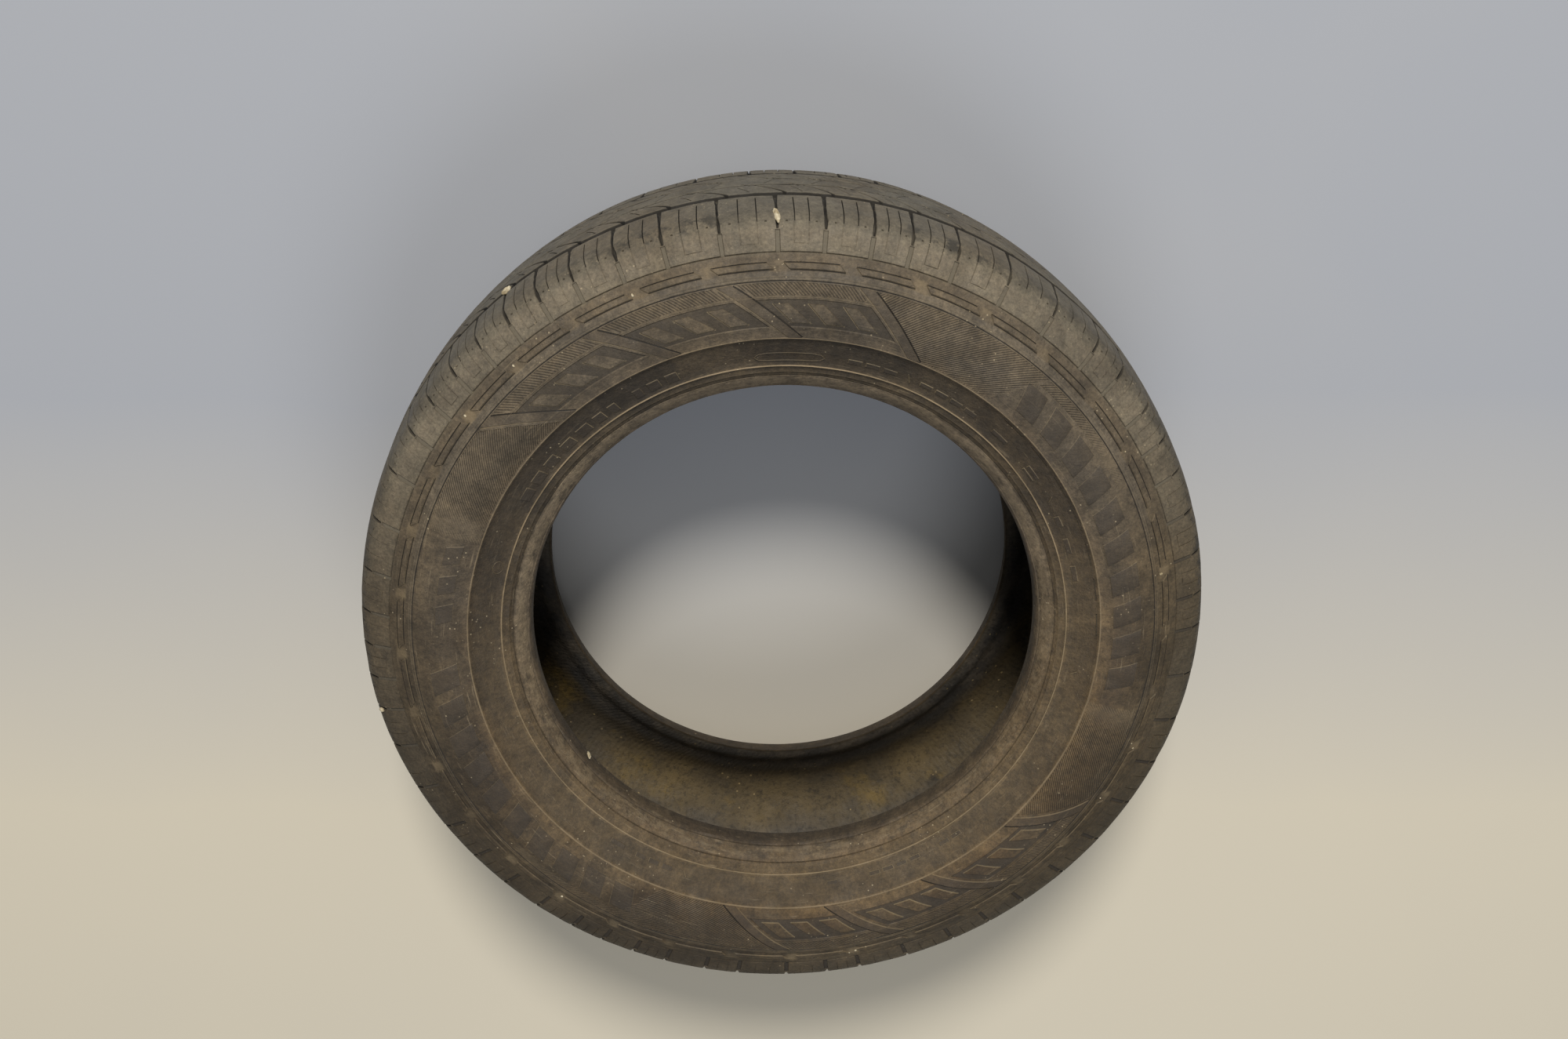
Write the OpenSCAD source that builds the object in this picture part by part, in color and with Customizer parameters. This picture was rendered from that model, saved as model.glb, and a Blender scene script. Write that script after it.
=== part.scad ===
// Worn radial car tyre, off its rim and lying on one sidewall.
// The axle line is Z and the origin is the centre of the tyre. Angles round the
// tyre run clockwise from +Y, seen from above.

/* [Casing] */
// Diameter over the middle of the worn tread
tyre_d = 687; // [640:1:830]
// Width across both sidewalls where they bulge most
section_w = 238; // [196:1:290]
// Diameter of the bead seats, which is the rim size
rim_d = 405.6; // [350:0.1:440]
// Width of the tread between its two corners
tread_w = 192; // [160:1:232]
// Radius that the tread is crowned to, across its width
crown_round = 605; // [400:5:1200]
// Radius of the worn corner between tread and sidewall
shoulder_round = 24; // [12:1:28]
// Height of the widest line above the bead seat
widest_up = 68; // [55:1:80]
// Radius of the sidewall bulge
side_round = 48; // [38:1:56]
// Width of the flat ring that the tyre lies on
rest_w = 8; // [4:0.5:12]

/* [Bead] */
// Distance between the two bead toes
toe_gap = 140; // [110:1:170]
// Width of the bead base that seats on the rim
bead_base = 12; // [9:0.5:16]
// Height of the rim flange's print on the bead, above the seat
flange_up = 10; // [6:0.5:14]
// How far the bead leans out over that height
flange_out = 12; // [6:0.5:16]
// Radius of the bead heel
heel_round = 4; // [2:0.5:5]

/* [Wall thickness] */
// Rubber and belts under the middle of the tread
crown_gauge = 13; // [10:0.5:18]
// Sidewall
side_gauge = 7; // [5:0.5:10]
// Radius of the liner's corner under the shoulder
liner_round = 22; // [14:1:28]

/* [Tread] */
// Depth left in the wide grooves
groove_depth = 4; // [2:0.5:6]
// Width of the two wide grooves at the tread face
groove_w = 10; // [6:0.5:14]
// Distance of each wide groove from the middle
groove_at = 43; // [36:0.5:50]
// Depth of the two narrow grooves beside the centre rib
thin_groove_depth = 2.5; // [1:0.5:4]
// Width of the narrow grooves
thin_groove_w = 3; // [2:0.5:5]
// Distance of each narrow groove from the middle
thin_groove_at = 12.5; // [9:0.5:18]
// Depth of the slots across the shoulders
slot_depth = 3.5; // [1.5:0.5:5]
// Width of the slots
slot_w = 5; // [3:0.5:7]
// Depth of the shallow channel that a slot runs out in
channel_depth = 1.2; // [0.6:0.1:2]
// How far the channels reach down the sidewall from the tread corner
channel_down = 23; // [18:0.5:26]
// Depth of the slanted grooves across the ribs
rib_groove_depth = 3; // [1:0.5:4]
// Width of the slanted grooves
rib_groove_w = 3.5; // [2:0.5:5]
// Turn of the lower half's pattern against the upper one, in degrees
half_shift = 3.1; // [0:0.1:6]

/* [Sidewall] */
// Height of the raised marks
relief = 1; // [0.5:0.1:1.5]
// Distance of the ring of dashes inward from the tread corner
dash_in = 32.5; // [29:0.5:40]
// Width of the dashes
dash_w = 5; // [3:0.5:7]
// Number of dashes
dash_count = 36; // [24:1:48]
// Gap between dashes, in degrees
dash_gap = 2.2; // [1:0.1:4]
// Depth of the panels that the slanted bars stand in
panel_depth = 0.8; // [0.4:0.1:1.2]
// Distance of the panels' middle outward from the bead seat
panel_up = 67.5; // [55:0.5:80]
// Radial length of the bars
bar_len = 14.5; // [8:0.5:18]
// Width of each bar, in degrees
bar_w = 2.3; // [1.5:0.1:3.6]
// Lean of a bar over its length, in degrees
bar_lean = 4; // [0:0.1:8]
// Distances of the two raised lines outward from the bead seat
rim_line_up = 23; // [18:0.5:30]
mark_line_up = 47; // [40:0.5:54]

/* [Hidden] */
$fn = 180;

rim_r = rim_d / 2;
crown_r = tyre_d / 2;
half_w = section_w / 2;
edge_room = 1;         // how far a cutter stands clear of what it cuts
root = 1;              // how deep a raised mark is rooted in the wall

// Order of the tread's short, middle and long pitches, once round the tyre
pitch_order = "MMSMLLLSMSSMMMSLLLLLLLMMLLSMLSMSSSMMMMLLMSSSMLLMSSSSSSMMLL";
short_pitch = 0.82;
long_pitch = 1.2;
first_slot = -1.75;    // angle of the first slot
groove_lean = 12;      // how far a groove's walls lean out, in degrees
rib_lead = 9.6;        // where a slanted groove starts, clockwise of its slot
rib_reach = 24.6;      // how far it then bends back
first_gap = 7.2;       // angle of the first gap in the ring of dashes

// Two groups of panels on each sidewall, opposite each other: angles in degrees
group_starts = [318, 128];
group_panels = 3;
panel_pitch = 20;
panel_bars = 3;
bar_pitch = 5.3;
panel_end = 2;         // how far a panel runs on past its outer bars
panel_rim = 3;         // and past the ends of the bars, in mm
line_w = 1.4;          // width of the raised lines round the sidewall

function unit(v) = v / norm(v);
function turned(v, a) = [v.x * cos(a) - v.y * sin(a), v.x * sin(a) + v.y * cos(a)];
function backwards(pts) = [for (i = [len(pts) - 1:-1:0]) pts[i]];
function crown_at(z) = crown_r - crown_round + sqrt(crown_round * crown_round - z * z);

// Points of the arc of radius r that rounds the corner b between a and c
function rounded(a, b, c, r, n) =
    let (u = unit(a - b), v = unit(c - b), half = acos(u * v) / 2,
         o = b + unit(u + v) * r / sin(half),
         p = b + u * r / tan(half) - o, q = b + v * r / tan(half) - o,
         sweep = 180 - 2 * half)
    [for (i = [0:n]) o + (p * sin(sweep * (1 - i / n)) + q * sin(sweep * i / n)) / sin(sweep)];

// Where a line from p just touches the circle of radius r round o, turned to one side
function touch(p, o, r, side) =
    let (d = norm(o - p)) p + sqrt(d * d - r * r) * turned(unit(o - p), side * asin(r / d));

// Points of the arc round o from a to b
function arc(a, b, o, n) =
    let (r = norm(a - o), a0 = atan2(a.y - o.y, a.x - o.x), a1 = atan2(b.y - o.y, b.x - o.x))
    [for (i = [0:n]) o + r * [cos(a0 + (a1 - a0) * i / n), sin(a0 + (a1 - a0) * i / n)]];

// Outer face of the upper half, as [radius, height] from the middle of the tread to the toe
flat_drop = side_round - sqrt(side_round * side_round - rest_w * rest_w / 4);
bulge = [rim_r + widest_up, half_w - side_round + flat_drop];
corner = [crown_at(tread_w / 2), tread_w / 2];
crown_end = corner.y - shoulder_round;
crown_pts = [for (i = [0:4]) let (z = crown_end * i / 4) [crown_at(z), z]];
toe = [rim_r, toe_gap / 2];
heel = toe + [0, bead_base];
flange = heel + [flange_up, flange_out];
flat_top = [bulge.x + rest_w / 2, half_w];
flat_foot = [bulge.x - rest_w / 2, half_w];
side_top = touch(corner, bulge, side_round, -1);
side_foot = touch(flange, bulge, side_round, 1);
shoulder_pts = rounded(crown_pts[4], corner, side_top, shoulder_round, 4);
side_pts = concat(arc(side_top, flat_top, bulge, 3), arc(flat_foot, side_foot, bulge, 4));
bead_pts = concat(rounded(side_foot, flange, heel, flange_up, 2), rounded(flange, heel, toe, heel_round, 3));
outer_pts = concat(crown_pts, shoulder_pts, side_pts, bead_pts, [toe]);

// Liner face of the same half, from the toe back to the middle of the tread
liner_bulge = side_round - side_gauge;
liner_corner = [crown_at(corner.y - side_gauge) - crown_gauge, corner.y - side_gauge];
liner_end = liner_corner.y - liner_round;
liner_crown = [for (i = [3:-1:0]) let (z = liner_end * i / 3) [crown_at(z) - crown_gauge, z]];
liner_foot = touch(toe, bulge, liner_bulge, 1);
liner_top = touch(liner_corner, bulge, liner_bulge, -1);
liner_pts = concat(arc(liner_foot, liner_top, bulge, 7),
                   rounded(liner_top, liner_corner, liner_crown[0], liner_round, 4), liner_crown);

// Height of the sidewall's face at a radius, and the stretch of face between two radii
wall_pts = concat([flange], backwards(side_pts), backwards(shoulder_pts));
function face_z(r) = lookup(r, wall_pts);
function face_between(r0, r1) =
    concat([[r0, face_z(r0)]], [for (p = wall_pts) if (p.x > r0 && p.x < r1) p], [[r1, face_z(r1)]]);
function raised(pts, h) = [for (p = pts) p + [0, h]];

// Angle of each pitch, from the lengths of the pitches before it
function pitch_len(i) = pitch_order[i] == "S" ? short_pitch : pitch_order[i] == "L" ? long_pitch : 1;
function run_to(i) = i == 0 ? 0 : run_to(i - 1) + pitch_len(i - 1);
pitch_count = len(pitch_order);
pitch_angles = [for (i = [0:pitch_count - 1]) first_slot + 360 * run_to(i) / run_to(pitch_count)];

// Sets its children at an angle round the tyre, drawn with the tread ahead along +Y
module at_angle(a) {
    rotate([0, 0, -a]) children();
}

// Sets its children at every pitch of the upper half and, turned over, of the lower half
module each_pitch() {
    for (a = pitch_angles) {
        at_angle(a) children();
        at_angle(a - half_shift) rotate([0, 180, 0]) children();
    }
}

// Draws its children on the upper sidewall and mirrored on the lower one
module each_side() {
    children();
    mirror([0, 0, 1]) children();
}

// The closed section with its grooves, turned round the axle line
module casing() {
    half = concat(outer_pts, liner_pts);
    rotate_extrude()
        difference() {
            union() {
                polygon(half);
                mirror([0, 1]) polygon(half);
            }
            for (side = [-1, 1]) {
                groove_section(side * groove_at, groove_w, groove_depth);
                groove_section(side * thin_groove_at, thin_groove_w, thin_groove_depth);
            }
        }
}

// Section of a groove that runs all the way round, with walls that lean out
module groove_section(z, w, depth) {
    floor_r = crown_at(z) - depth;
    lean = depth * tan(groove_lean);
    polygon([[floor_r, z - w / 2 + lean], [floor_r, z + w / 2 - lean],
             [crown_r + edge_room, z + w / 2], [crown_r + edge_room, z - w / 2]]);
}

// Slot between two shoulder blocks, with the shallow channel that it runs out in
module shoulder_slot() {
    lip_r = corner.x - channel_down;
    down = unit(side_top - corner);
    deep = [turned(down, -90) * slot_depth, turned(down, -90) * channel_depth];
    floor_pts = [[crown_at(groove_at) - slot_depth, groove_at], [crown_at(crown_end) - slot_depth, crown_end],
                 shoulder_pts[2] - unit(shoulder_pts[2] - bulge) * slot_depth,
                 shoulder_pts[4] - deep[1], [lip_r, face_z(lip_r)] - deep[1], [lip_r, face_z(lip_r) + edge_room]];
    translate([-slot_w / 2, 0, 0]) rotate([90, 0, 90])
        linear_extrude(slot_w)
            polygon(concat(floor_pts, [corner + [edge_room, edge_room], [crown_r + edge_room, groove_at]]));
}

// Slanted groove across a rib: it leaves the wide groove square and bends over
module rib_groove() {
    rib_end = thin_groove_at + thin_groove_w / 2;
    tilt = atan((crown_at(rib_end) - crown_at(groove_at)) / (groove_at - rib_end));
    function across(u) = rib_lead - rib_reach * pow(u, 1.5);
    function along(u) = groove_at + (rib_end - groove_at) * u;
    steps = [for (u = [0:1 / 3:1]) u];
    translate([0, crown_at(rib_end) - rib_groove_depth, 0]) rotate([tilt, 0, 0]) rotate([-90, 0, 0])
        linear_extrude(rib_groove_depth + edge_room)
            polygon(concat([for (u = steps) [across(u) + rib_groove_w / 2, -along(u)]],
                           [for (u = backwards(steps)) [across(u) - rib_groove_w / 2, -along(u)]]));
}

// Raised line that runs round the sidewall
module wall_line(r, w) {
    face = face_between(r - w / 2, r + w / 2);
    rotate_extrude() polygon(concat(raised(face, relief), backwards(raised(face, -root))));
}

// Ring of raised dashes under the shoulder, parted by slanted gaps
module dash_ring() {
    dash_r = corner.x - dash_in;
    difference() {
        wall_line(dash_r, dash_w);
        for (i = [0:dash_count - 1])
            at_angle(first_gap + i * 360 / dash_count) sector_bar(dash_r, dash_w + 2 * edge_room, dash_gap, dash_gap / 2);
    }
}

// Upright four-sided prism in the plan: it covers w degrees and leans over its length
module sector_bar(r, len, w, lean) {
    function at(rr, a) = rr * [sin(a), cos(a)];
    linear_extrude(half_w + 2 * relief)
        polygon([at(r - len / 2, lean / 2), at(r - len / 2, lean / 2 + w),
                 at(r + len / 2, w - lean / 2), at(r + len / 2, -lean / 2)]);
}

// Shallow panels cut in the bulge of the sidewall, with slanted bars left standing in them
module bar_panels() {
    panel_r = rim_r + panel_up;
    panel_len = bar_len + 2 * panel_rim;
    panel_w = (panel_bars - 1) * bar_pitch + bar_w + 2 * panel_end;
    panel_lean = bar_lean * panel_len / bar_len;
    face = face_between(panel_r - panel_len / 2 - edge_room, panel_r + panel_len / 2 + edge_room);
    intersection() {
        rotate_extrude() polygon(concat(raised(face, edge_room), backwards(raised(face, -panel_depth))));
        for (start = group_starts, panel = [0:group_panels - 1])
            at_angle(start + panel * panel_pitch)
                difference() {
                    at_angle(-panel_end) sector_bar(panel_r, panel_len, panel_w, panel_lean);
                    for (bar = [0:panel_bars - 1])
                        at_angle(bar * bar_pitch) sector_bar(panel_r, bar_len, bar_w, bar_lean);
                }
    }
}

module tyre() {
    color([0.2, 0.19, 0.17]) {
        difference() {
            casing();
            each_pitch() {
                shoulder_slot();
                rib_groove();
            }
            each_side() bar_panels();
        }
        each_side() {
            dash_ring();
            wall_line(rim_r + rim_line_up, line_w);
            wall_line(rim_r + mark_line_up, line_w);
        }
    }
}

tyre();
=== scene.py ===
import bpy
import bmesh
import math
import random
import numpy as np
from mathutils import Matrix, Vector, noise
from mathutils.geometry import delaunay_2d_cdt


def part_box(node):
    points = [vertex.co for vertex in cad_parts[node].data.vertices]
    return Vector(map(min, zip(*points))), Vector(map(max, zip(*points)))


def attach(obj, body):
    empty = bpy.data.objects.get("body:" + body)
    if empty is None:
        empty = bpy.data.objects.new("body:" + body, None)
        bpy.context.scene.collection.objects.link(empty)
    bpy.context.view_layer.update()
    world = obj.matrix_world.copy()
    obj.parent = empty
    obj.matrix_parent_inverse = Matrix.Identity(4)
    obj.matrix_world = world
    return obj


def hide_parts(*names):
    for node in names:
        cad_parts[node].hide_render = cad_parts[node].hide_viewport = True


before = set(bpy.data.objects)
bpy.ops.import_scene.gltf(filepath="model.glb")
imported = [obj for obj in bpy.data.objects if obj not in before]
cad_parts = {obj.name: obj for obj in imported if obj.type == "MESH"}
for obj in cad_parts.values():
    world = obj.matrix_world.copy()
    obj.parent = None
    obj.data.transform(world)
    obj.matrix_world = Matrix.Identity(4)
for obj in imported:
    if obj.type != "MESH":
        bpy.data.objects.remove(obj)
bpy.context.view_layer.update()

from types import SimpleNamespace

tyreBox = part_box("tyre")
mm = 0.001
halfWidth = tyreBox[1].z / mm
floorLevel = tyreBox[0].z

# The view: straight down the axle line, then leaned over towards +Y
shot = {
    "lens": 36.91,
    "sensor": 36,
    "distance": 1373.5,       # mm, from the tyre's centre along the view
    "aside": (2.1, 55.7),     # mm, how far the view passes the centre
    "lean": 22.12,            # degrees
    "turn": 1.9,
}


def addCamera():
    lean = Matrix.Rotation(math.radians(shot["lean"]), 3, 'X')
    turn = Matrix.Rotation(math.radians(shot["turn"]), 3, 'Y')
    back = (turn @ lean).transposed()
    data = bpy.data.cameras.new("camera")
    data.lens = shot["lens"]
    data.sensor_width = shot["sensor"]
    camera = bpy.data.objects.new("camera", data)
    eye = Vector((shot["aside"][0], shot["aside"][1], shot["distance"])) * mm
    camera.matrix_world = Matrix.Translation(back @ eye) @ back.to_4x4()
    bpy.context.scene.collection.objects.link(camera)
    bpy.context.scene.camera = camera


addCamera()
print("camera placed")

# Section of the tyre, in mm. "across" is the way over the rubber's face from the middle of
# the tread: positive on the upper half, negative on the lower. Angles run clockwise from +Y.
casing = {
    "crown": 343.2,           # radius over the middle of the tread
    "crownRound": 605,
    "treadHalf": 96,          # middle of the tread to its corner
    "shoulderRound": 24,
    "widest": 270.8,          # radius of the widest ring
    "sideRound": 48,
    "sideSink": 0.5,          # room for the raised marks under the widest ring
    "seat": 202.8,
    "toe": 70,
    "beadBase": 12,
    "flange": (10, 12),
    "heelRound": 4,
    "crownGauge": 13,
    "sideGauge": 7,
    "linerRound": 22,
    "beadRoll": (26, 2.2),    # the bead bundle's swelling on the inside: its length and height
    "beadRows": (0, 4, 9, 15, 20, 24.5, 27.5, 38),    # rows of the liner up from the toe
    "faceSteps": (30, 14, 30, 5),     # points on the crown, shoulder, sidewall and bead
    "linerSteps": (8, 6, 5),          # on the liner's side, corner and crown
    "faceSink": 0.1,                  # mm that the worn face lies under the section
    "sag": ((0.35, 60, 8.0), (0.12, 14, 5.0)),     # its waves: height, length and seed
    "calmToe": (6, 14),               # the waves start this far from the toe, and grow over this much
    "linerSwell": (0.5, 8, 22),       # height, waves round the tyre and their length across
    "margin": 0.05,                   # mm kept free inside the tyre's size
    "sharpFrom": 33,                  # degrees between faces that shade as an edge
    "wrapRadius": 0.3,                # m, of the drum that the wear patterns are wrapped on
}


def crownAt(z):
    k = casing["crownRound"]
    return casing["crown"] - k + math.sqrt(k * k - z * z)


def roundedCorner(a, b, c, radius, steps):
    u, v = (a - b).normalized(), (c - b).normalized()
    half = math.acos(u.dot(v)) / 2
    middle = b + (u + v).normalized() * radius / math.sin(half)
    p = b + u * radius / math.tan(half) - middle
    q = b + v * radius / math.tan(half) - middle
    sweep = math.pi - 2 * half

    def spoke(share):
        return (p * math.sin(sweep * (1 - share)) + q * math.sin(sweep * share)) / math.sin(sweep)

    return [middle + spoke(i / steps) for i in range(steps + 1)]


def touchPoint(p, middle, radius, side):
    way = middle - p
    reach = math.sqrt(way.length ** 2 - radius ** 2)
    return p + Matrix.Rotation(side * math.asin(radius / way.length), 2) @ way.normalized() * reach


def arcPoints(a, b, middle, steps):
    radius = (a - middle).length
    start = math.atan2(a.y - middle.y, a.x - middle.x)
    end = math.atan2(b.y - middle.y, b.x - middle.x)
    turns = [start + (end - start) * i / steps for i in range(steps + 1)]
    return [middle + radius * Vector((math.cos(t), math.sin(t))) for t in turns]


bulge = Vector((casing["widest"], halfWidth - casing["sideRound"] - casing["sideSink"]))
toe = Vector((casing["seat"], casing["toe"]))


def outerHalf():
    crownSteps, shoulderSteps, sideSteps, beadSteps = casing["faceSteps"]
    corner = Vector((crownAt(casing["treadHalf"]), casing["treadHalf"]))
    crownEnd = casing["treadHalf"] - casing["shoulderRound"]
    crown = [Vector((crownAt(z), z)) for z in np.linspace(0, crownEnd, crownSteps)]
    heel = toe + Vector((0, casing["beadBase"]))
    flange = heel + Vector(casing["flange"])
    sideTop = touchPoint(corner, bulge, casing["sideRound"], -1)
    sideFoot = touchPoint(flange, bulge, casing["sideRound"], 1)
    return (crown + roundedCorner(crown[-1], corner, sideTop, casing["shoulderRound"], shoulderSteps)
            + arcPoints(sideTop, sideFoot, bulge, sideSteps)
            + roundedCorner(sideFoot, flange, heel, casing["flange"][0], beadSteps)
            + roundedCorner(flange, heel, toe, casing["heelRound"], beadSteps) + [toe])


def linerHalf():
    sideSteps, cornerSteps, crownSteps = casing["linerSteps"]
    cornerZ = casing["treadHalf"] - casing["sideGauge"]
    corner = Vector((crownAt(cornerZ) - casing["crownGauge"], cornerZ))
    radius = casing["sideRound"] - casing["sideGauge"]
    foot = touchPoint(toe, bulge, radius, 1)
    top = touchPoint(corner, bulge, radius, -1)
    crownZ = np.linspace(cornerZ - casing["linerRound"], 0, crownSteps)
    ends = [Vector((crownAt(z) - casing["crownGauge"], z)) for z in crownZ]
    out = (foot - toe).orthogonal().normalized()
    out *= 1 if out.y < 0 else -1
    reach, roll = (foot - toe).length, casing["beadRoll"]
    way = []
    for along in casing["beadRows"]:
        rise = roll[1] * math.sin(math.pi * min(along / roll[0], 1))
        way.append(toe.lerp(foot, along / reach) + out * rise)
    way += arcPoints(foot, top, bulge, sideSteps)
    return way + roundedCorner(top, corner, ends[0], casing["linerRound"], cornerSteps) + ends


def measured(points):
    flat = np.array([(p.x, p.y) for p in points])
    keep = np.append(True, np.hypot(*np.diff(flat, axis=0).T) > 0.01)
    flat = flat[keep]
    along = np.append(0, np.cumsum(np.hypot(*np.diff(flat, axis=0).T)))
    return along, flat


faceAlong, facePoints = measured(outerHalf())
faceEnd = faceAlong[-1]
fine = np.linspace(0, faceEnd, 1200)
fineR = np.interp(fine, faceAlong, facePoints[:, 0])
fineZ = np.interp(fine, faceAlong, facePoints[:, 1])
slopeR = np.gradient(fineR, fine)
slopeZ = np.gradient(fineZ, fine)


def radiusAt(across):
    return np.interp(np.abs(across), fine, fineR)


def placed(angle, across, height):
    a = np.abs(across)
    side = np.where(across < 0, -1.0, 1.0)
    r = np.interp(a, fine, fineR)
    z = np.interp(a, fine, fineZ)
    outR = np.interp(a, fine, slopeZ)
    outZ = -np.interp(a, fine, slopeR)
    size = np.hypot(outR, outZ)
    r = r + height * outR / size
    z = (z + height * outZ / size) * side
    t = np.radians(angle)
    return np.stack([r * np.sin(t), r * np.cos(t), z], 1) * mm


# The rubber's face is drawn flat, as angle against the way across, and bent into place at
# the end. The seam of the drawing is where the pattern is plainest.
drawing = {
    "perDegree": 5.6,         # mm on the drawing for a degree
    "seam": 104.3,            # degrees
    "columns": 166,           # plain points round the tyre
    "row": 7.0,               # mm between the rows of plain points
    "step": 8.0,              # longest edge along a mark
}
marks = []


def edge(width):
    # how a mark's wall rises: pairs of mm in from its edge and the share of its height
    return [(0, 0), (width, 1)]


wornEdge = [(0, 0), (0.45, 0.16), (1.1, 1)]


def perDegreeAt(across):
    return float(radiusAt(across)) * math.pi / 180


def subdivided(points, step, closed=False):
    points = np.asarray(points, float)
    if closed:
        points = np.vstack([points, points[:1]])
    out = []
    for a, b in zip(points[:-1], points[1:]):
        count = max(1, int(math.ceil(np.hypot(*(b - a)) / step)))
        out.extend(a + (b - a) * i / count for i in range(count))
    if not closed:
        out.append(points[-1])
    return np.array(out)


def addMark(kind, loops, insetAt, origin, amount, wall, ragged=0.0):
    # loops and insetAt work in mm from the origin, an (angle, across) on the face
    perDegree = perDegreeAt(origin[1])
    flat = [(np.asarray(loop) / (perDegree, 1) + origin, closed) for loop, closed in loops]
    low = min(f[:, 0].min() for f, closed in flat)
    high = max(f[:, 0].max() for f, closed in flat)
    marks.append({"kind": kind, "loops": flat, "inset": insetAt, "origin": origin, "perDegree": perDegree,
                  "from": low, "to": high, "amount": amount, "wall": wall, "ragged": ragged})


def strip(kind, way, half, amount, wall, ragged=0.0):
    # a strip along a line of (angle, across), cut square at its ends
    way = np.array(way, float)
    origin = way.mean(0)
    line = (way - origin) * (perDegreeAt(origin[1]), 1)
    given = np.append(0, np.cumsum(np.hypot(*np.diff(line, axis=0).T)))
    line = subdivided(line, drawing["step"])
    along = np.append(0, np.cumsum(np.hypot(*np.diff(line, axis=0).T)))
    halves = np.interp(along, given, np.broadcast_to(half, len(given)))
    ahead = np.gradient(line, along, axis=0)
    ahead /= np.hypot(*ahead.T)[:, None]
    sideways = np.stack([-ahead[:, 1], ahead[:, 0]], 1)

    def loopAt(inset):
        body = line.copy()
        body[0] += ahead[0] * inset
        body[-1] -= ahead[-1] * inset
        out = sideways * (halves - inset)[:, None]
        return np.vstack([body + out, (body - out)[::-1]]), True

    start, way = line[:-1], np.diff(line, axis=0)
    length = np.hypot(*way.T)

    def insetAt(points):
        apart = points[:, None, :] - start[None]
        share = (apart * way).sum(2) / length ** 2
        low, high = np.zeros(len(way)), np.ones(len(way))
        low[0], high[-1] = -1e6, 1e6
        held = np.clip(share, low, high)
        off = apart - held[..., None] * way
        distance = np.hypot(off[..., 0], off[..., 1])
        nearest = distance.argmin(1)
        rows = np.arange(len(points))
        share = share[rows, nearest]
        part = np.clip(share, 0, 1)
        width = halves[nearest] * (1 - part) + halves[nearest + 1] * part
        inset = width - distance[rows, nearest]
        inset = np.where(nearest == 0, np.minimum(inset, share * length[nearest]), inset)
        return np.where(nearest == len(way) - 1, np.minimum(inset, (1 - share) * length[nearest]), inset)

    addMark(kind, [loopAt(w[0]) for w in wall], insetAt, origin, amount, wall, ragged)


def halfPlanes(corners):
    corners = np.asarray(corners, float)
    after = np.roll(corners, -1, 0)
    if (corners[:, 0] * after[:, 1] - corners[:, 1] * after[:, 0]).sum() < 0:
        corners = corners[::-1]
    edges = np.roll(corners, -1, 0) - corners
    edges /= np.hypot(*edges.T)[:, None]
    return corners, edges, np.stack([-edges[:, 1], edges[:, 0]], 1)


def shrunk(corners, edges, inward, inset):
    out = []
    for i in range(len(corners)):
        a, b = corners[i - 1] + inward[i - 1] * inset, corners[i] + inward[i] * inset
        turn = edges[i - 1][0] * edges[i][1] - edges[i - 1][1] * edges[i][0]
        gap = b - a
        out.append(a + edges[i - 1] * (gap[0] * edges[i][1] - gap[1] * edges[i][0]) / turn)
    return np.array(out)


def panel(kind, corners, amount, wall):
    # a flat shape with straight sides and no hollow corner, from its (angle, across) corners
    corners = np.array(corners, float)
    origin = corners.mean(0)
    corners, edges, inward = halfPlanes((corners - origin) * (perDegreeAt(origin[1]), 1))
    insets = [shrunk(corners, edges, inward, w[0]) for w in wall]
    loops = [(subdivided(inset, drawing["step"], True), True) for inset in insets]

    def insetAt(points):
        return ((points[:, None, :] - corners[None]) * inward).sum(2).min(1)

    addMark(kind, loops, insetAt, origin, amount, wall)


def ring(kind, across, half, amount, wall, ragged=0.2):
    # a band right round the tyre
    lines = sorted({across + side * (half - w[0]) for w in wall for side in (-1, 1)})
    marks.append({"kind": kind, "rings": lines, "across": across, "half": half,
                  "amount": amount, "wall": wall, "ragged": ragged})


def hatch(corners, slant, amount, spacing, fade=None):
    # fine ridges leaning "slant" degrees for every mm across, sunk so that no crest stands proud
    corners = np.array(corners, float)
    origin = corners.mean(0)
    perDegree = perDegreeAt(origin[1])
    edged, _, inward = halfPlanes((corners - origin) * (perDegree, 1))
    tilt = np.array([slant * perDegree, 1.0])
    across = np.array([tilt[1], -tilt[0]]) / np.hypot(*tilt)
    pitch = spacing * perDegree * across[0]
    reach = edged @ across
    loops = [(subdivided(edged, drawing["step"], True), True)]
    firstLine, lastLine = (int(math.floor(end / pitch * 2)) for end in (reach.min(), reach.max()))
    for k in range(firstLine + 1, lastLine + 1):
        base = across * k * pitch / 2
        rise = inward @ tilt
        room = ((base - edged) * inward).sum(1)
        low = max([-g / s for g, s in zip(room, rise) if s > 1e-6])
        high = min([-g / s for g, s in zip(room, rise) if s < -1e-6])
        if (high - low) * np.hypot(*tilt) > 1.5:
            ends = [base + tilt * (low + 0.3), base + tilt * (high - 0.3)]
            loops.append((subdivided(ends, drawing["step"]), False))

    def insetAt(points):
        inside = ((points[:, None, :] - edged[None]) * inward).sum(2).min(1)
        phase = (points @ across) / pitch
        wave = np.abs((phase - np.floor(phase)) * 2 - 1)
        depth = wave * np.clip(inside / 0.3, 0, 1)
        if fade:
            angle = points[:, 0] / perDegree + origin[0]
            depth = depth * np.clip((angle - fade[1]) / (fade[0] - fade[1]), 0, 1)
        return depth

    addMark("hatch", loops, insetAt, origin, amount, edge(1))


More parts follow.
